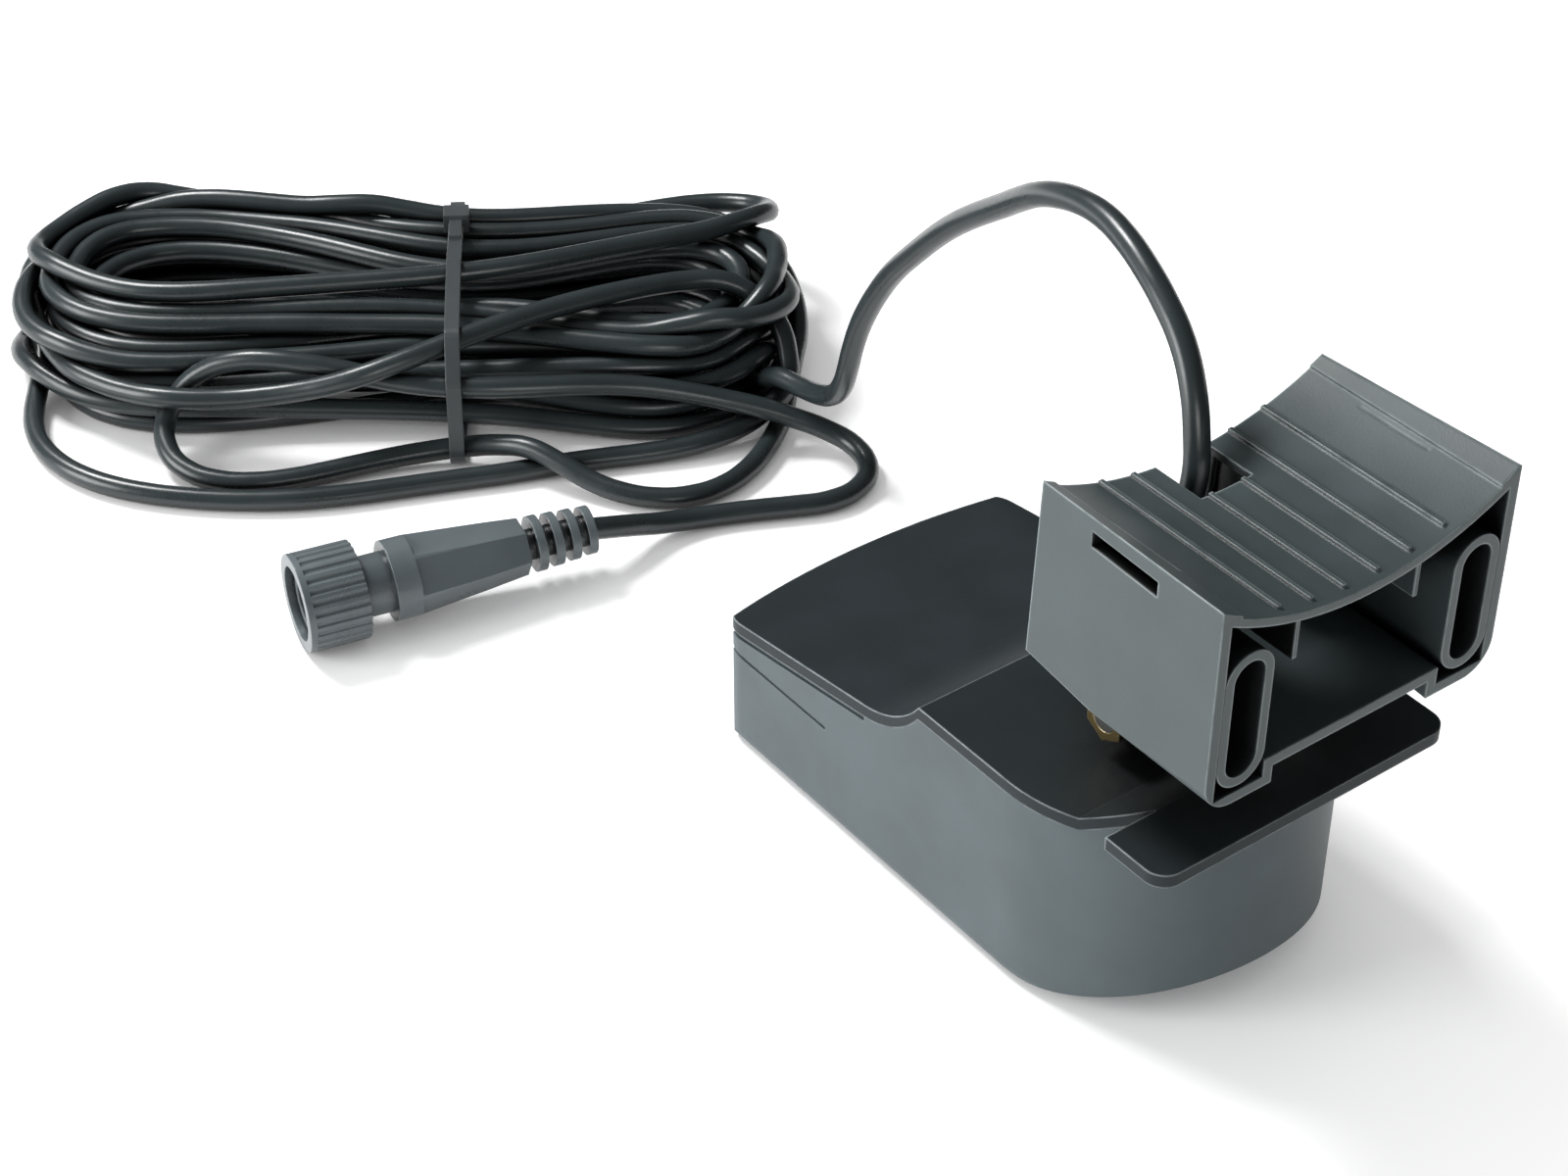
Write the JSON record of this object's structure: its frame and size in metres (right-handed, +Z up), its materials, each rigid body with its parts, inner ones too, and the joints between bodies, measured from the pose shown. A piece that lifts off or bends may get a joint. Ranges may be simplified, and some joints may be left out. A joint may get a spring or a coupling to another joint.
{
  "type": "sonar transducer",
  "caption": "Transom-mount sonar transducer: stepped potted housing with a round nose, pivoting screw-on bracket, tied cable hank and a round plug with a turning coupling nut.",
  "frame": {"origin": "on the flat sounding face under the housing, on the plane of symmetry, 69 mm ahead of the tail end", "axes": "+X from the tail toward the round nose and the transom, +Y to the far side across the housing, +Z up from the sounding face"},
  "size_m": [0.339, 0.155, 0.1218],
  "materials": {
    "housing_plastic": "fine moulded grain",
    "cover_plastic": "fine moulded grain",
    "bracket_plastic": "satin moulded",
    "cable_jacket": "smooth satin jacket",
    "plug_plastic": "satin moulded",
    "rubber": "matte",
    "tie_plastic": "satin",
    "resin": "cast resin",
    "ceramic": "fired ceramic, silvered faces",
    "cork": "pressed cork",
    "steel": "stainless",
    "brass": "plated"
  },
  "bodies": {
    "transducer": {"lower_housing": "housing_plastic", "top_cover": "cover_plastic", "potting": "resin", "ceramic_element": "ceramic", "isolation_ring": "cork", "temperature_sensor": "steel", "cable_gland": "rubber", "rubber_washer_near": "rubber", "rubber_washer_far": "rubber", "cable_arch": "cable_jacket", "cable_hank": "cable_jacket", "cable_tie": "tie_plastic", "cable_tail": "cable_jacket", "strain_relief": "plug_plastic", "plug_body": "plug_plastic", "contact_insert": "tie_plastic", "contacts": "brass", "plug_seal": "rubber"},
    "bracket": {"transom_bracket": "bracket_plastic", "pivot_bolt": "steel", "lock_nut": "brass", "flat_washer_bolt": "steel", "flat_washer_nut": "steel"},
    "coupling": {"coupling_nut": "plug_plastic"}
  },
  "joints": [
    {"name": "bracket_pivot", "type": "hinge", "parent": "transducer", "child": "bracket", "pos_m": [0.018, 0, 0.0515], "axis": [0, 1, 0], "range_deg": [-8, 15]},
    {"name": "coupling_turn", "type": "hinge", "parent": "transducer", "child": "coupling", "pos_m": [-0.1388, -0.0842, 0.01], "axis": [0.225, 0.9744, 0], "continuous": true}
  ]
}
